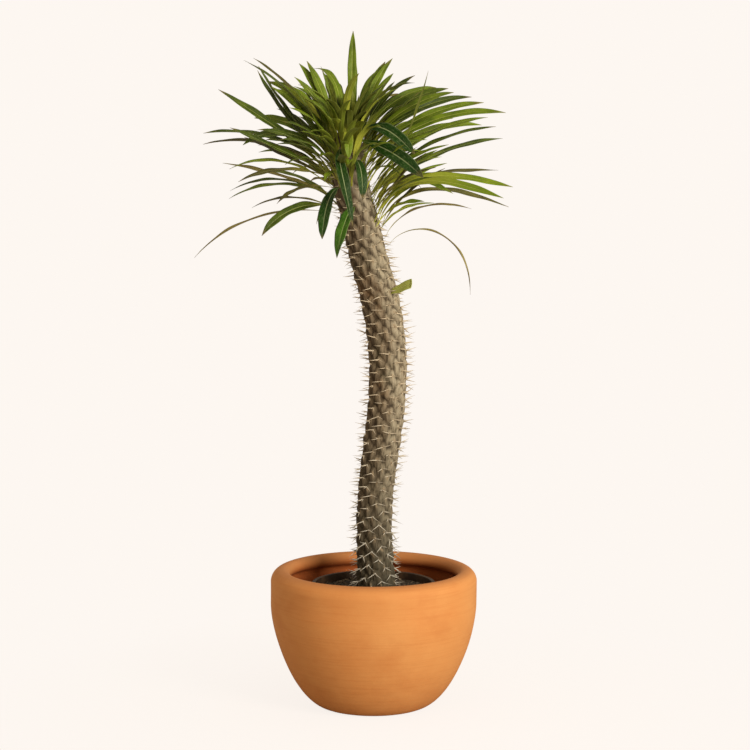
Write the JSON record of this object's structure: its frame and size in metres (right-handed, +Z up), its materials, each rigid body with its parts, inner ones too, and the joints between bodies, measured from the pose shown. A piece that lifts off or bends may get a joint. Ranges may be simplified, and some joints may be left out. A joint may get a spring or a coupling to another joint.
{
  "type": "potted pachypodium",
  "caption": "Spiny succulent palm-like plant with a leaning curved stem and a crown of long narrow leaves, in a nursery pot inside a rounded terracotta bowl pot.",
  "frame": {"origin": "middle of the terracotta pot's flat foot, on the surface that it stands on", "axes": "+Z up along the stem, -Y towards the front, +X to the right as seen from the front"},
  "size_m": [0.4529, 0.3507, 0.975],
  "materials": {
    "terracotta": "matt, unglazed, with soft mottling",
    "nursery_plastic": "satin black, dusty at the rim",
    "potting_soil": "rough dark compost; paper stands in for its low density",
    "stem_bark": "matt grey-brown bark with pale spines",
    "leaf_green": "waxy green with a pale midrib",
    "cut_leaf_green": "pale yellow-green, dull"
  },
  "bodies": {
    "root": {"back_leaf_1": "leaf_green", "back_leaf_2": "leaf_green", "back_leaf_3": "leaf_green", "cut_leaf_stub": "cut_leaf_green", "front_leaf_1": "leaf_green", "front_leaf_2": "leaf_green", "front_leaf_3": "leaf_green", "front_leaf_4": "leaf_green", "front_leaf_5": "leaf_green", "front_leaf_6": "leaf_green", "front_leaf_7": "leaf_green", "left_leaf_1": "leaf_green", "left_leaf_10": "leaf_green", "left_leaf_11": "leaf_green", "left_leaf_12": "leaf_green", "left_leaf_13": "leaf_green", "left_leaf_14": "leaf_green", "left_leaf_15": "leaf_green", "left_leaf_16": "leaf_green", "left_leaf_17": "leaf_green", "left_leaf_2": "leaf_green", "left_leaf_3": "leaf_green", "left_leaf_4": "leaf_green", "left_leaf_5": "leaf_green", "left_leaf_6": "leaf_green", "left_leaf_7": "leaf_green", "left_leaf_8": "leaf_green", "left_leaf_9": "leaf_green", "nursery_pot": "nursery_plastic", "potting_soil": "potting_soil", "right_leaf_1": "leaf_green", "right_leaf_10": "leaf_green", "right_leaf_11": "leaf_green", "right_leaf_12": "leaf_green", "right_leaf_13": "leaf_green", "right_leaf_14": "leaf_green", "right_leaf_15": "leaf_green", "right_leaf_16": "leaf_green", "right_leaf_17": "leaf_green", "right_leaf_18": "leaf_green", "right_leaf_2": "leaf_green", "right_leaf_3": "leaf_green", "right_leaf_4": "leaf_green", "right_leaf_5": "leaf_green", "right_leaf_6": "leaf_green", "right_leaf_7": "leaf_green", "right_leaf_8": "leaf_green", "right_leaf_9": "leaf_green", "stem": "stem_bark", "terracotta_pot": "terracotta", "top_leaf_1": "leaf_green", "top_leaf_10": "leaf_green", "top_leaf_2": "leaf_green", "top_leaf_3": "leaf_green", "top_leaf_4": "leaf_green", "top_leaf_5": "leaf_green", "top_leaf_6": "leaf_green", "top_leaf_7": "leaf_green", "top_leaf_8": "leaf_green", "top_leaf_9": "leaf_green"}
  },
  "joints": []
}
